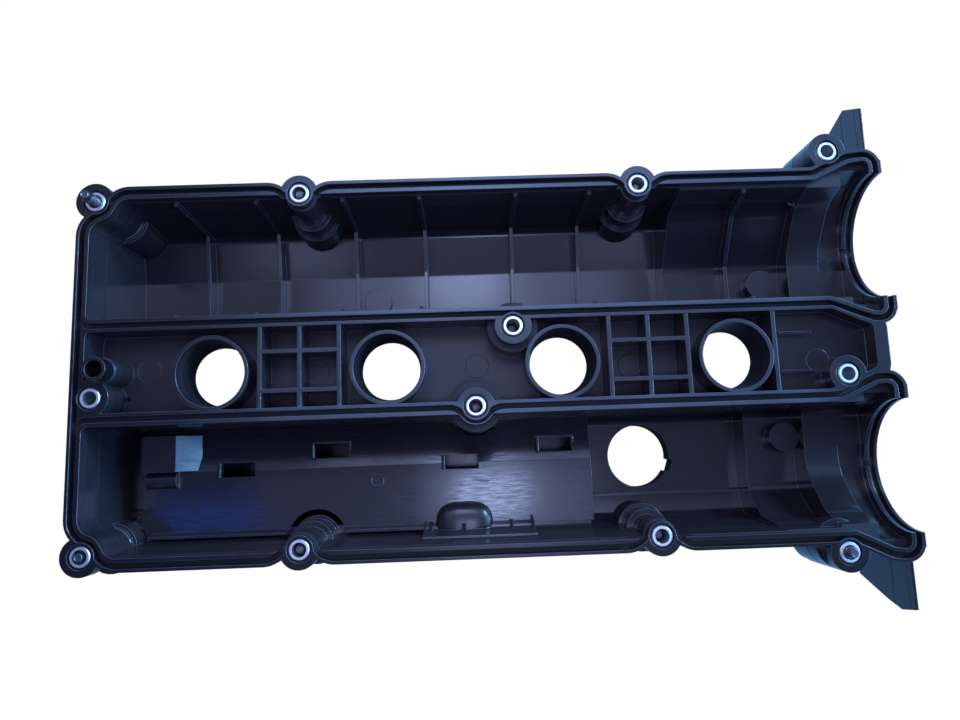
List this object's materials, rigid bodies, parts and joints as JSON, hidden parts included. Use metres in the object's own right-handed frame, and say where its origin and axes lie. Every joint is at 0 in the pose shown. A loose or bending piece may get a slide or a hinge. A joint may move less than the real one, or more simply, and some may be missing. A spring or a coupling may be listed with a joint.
{
  "type": "engine valve cover",
  "caption": "Moulded valve cover with two camshaft cavities, plug wells, a gasket groove, an oil separator baffle and captive screws in steel sleeves.",
  "frame": {"origin": "middle of the overall plan, on the plane that the crown stands on", "axes": "+X to the timing end with the camshaft arches, +Y away from the oil filler, +Z out of the open side"},
  "size_m": [0.4178, 0.263, 0.083],
  "materials": {
    "nylon": "glass-filled nylon, satin",
    "baffle_nylon": "glass-filled nylon, smoother",
    "cup_nylon": "nylon, satin",
    "sleeve_steel": "zinc-plated steel",
    "screw_steel": "zinc-plated steel, duller",
    "rubber": "black rubber"
  },
  "bodies": {
    "cover_moulding": {"cover": "nylon", "baffle": "baffle_nylon", "drain_cup": "cup_nylon", "sleeve_plain_1": "sleeve_steel", "sleeve_plain_2": "sleeve_steel", "sleeve_plain_3": "sleeve_steel", "sleeve_plain_4": "sleeve_steel", "sleeve_centre_1": "sleeve_steel", "sleeve_centre_2": "sleeve_steel", "sleeve_centre_3": "sleeve_steel", "sleeve_centre_4": "sleeve_steel", "sleeve_filler_1": "sleeve_steel", "sleeve_filler_2": "sleeve_steel", "sleeve_filler_3": "sleeve_steel", "sleeve_filler_4": "sleeve_steel", "isolator_plain_1": "rubber", "isolator_plain_2": "rubber", "isolator_plain_3": "rubber", "isolator_plain_4": "rubber", "isolator_centre_1": "rubber", "isolator_centre_2": "rubber", "isolator_centre_3": "rubber", "isolator_centre_4": "rubber", "isolator_filler_1": "rubber", "isolator_filler_2": "rubber", "isolator_filler_3": "rubber", "isolator_filler_4": "rubber"},
    "captive_screw_plain_1": {"screw_plain_1": "screw_steel"},
    "captive_screw_plain_2": {"screw_plain_2": "screw_steel"},
    "captive_screw_plain_3": {"screw_plain_3": "screw_steel"},
    "captive_screw_centre_2": {"screw_centre_2": "screw_steel"},
    "captive_screw_centre_3": {"screw_centre_3": "screw_steel"},
    "captive_screw_filler_1": {"screw_filler_1": "screw_steel"},
    "captive_screw_filler_2": {"screw_filler_2": "screw_steel"},
    "captive_screw_filler_3": {"screw_filler_3": "screw_steel"},
    "captive_screw_filler_4": {"screw_filler_4": "screw_steel"}
  },
  "joints": [
    {"name": "screw_float_plain_1", "type": "slide", "parent": "cover_moulding", "child": "captive_screw_plain_1", "axis": [0, 0, 1], "range_m": [-0.022, 0]},
    {"name": "screw_float_plain_2", "type": "slide", "parent": "cover_moulding", "child": "captive_screw_plain_2", "axis": [0, 0, 1], "range_m": [-0.0105, 0.0115]},
    {"name": "screw_float_plain_3", "type": "slide", "parent": "cover_moulding", "child": "captive_screw_plain_3", "axis": [0, 0, 1], "range_m": [-0.006, 0.016]},
    {"name": "screw_float_centre_2", "type": "slide", "parent": "cover_moulding", "child": "captive_screw_centre_2", "axis": [0, 0, 1], "range_m": [-0.001, 0.021]},
    {"name": "screw_float_centre_3", "type": "slide", "parent": "cover_moulding", "child": "captive_screw_centre_3", "axis": [0, 0, 1], "range_m": [-0.001, 0.021]},
    {"name": "screw_float_filler_1", "type": "slide", "parent": "cover_moulding", "child": "captive_screw_filler_1", "axis": [0, 0, 1], "range_m": [-0.0135, 0.0085]},
    {"name": "screw_float_filler_2", "type": "slide", "parent": "cover_moulding", "child": "captive_screw_filler_2", "axis": [0, 0, 1], "range_m": [-0.0095, 0.0125]},
    {"name": "screw_float_filler_3", "type": "slide", "parent": "cover_moulding", "child": "captive_screw_filler_3", "axis": [0, 0, 1], "range_m": [-0.005, 0.017]},
    {"name": "screw_float_filler_4", "type": "slide", "parent": "cover_moulding", "child": "captive_screw_filler_4", "axis": [0, 0, 1], "range_m": [-0.016, 0.006]}
  ]
}
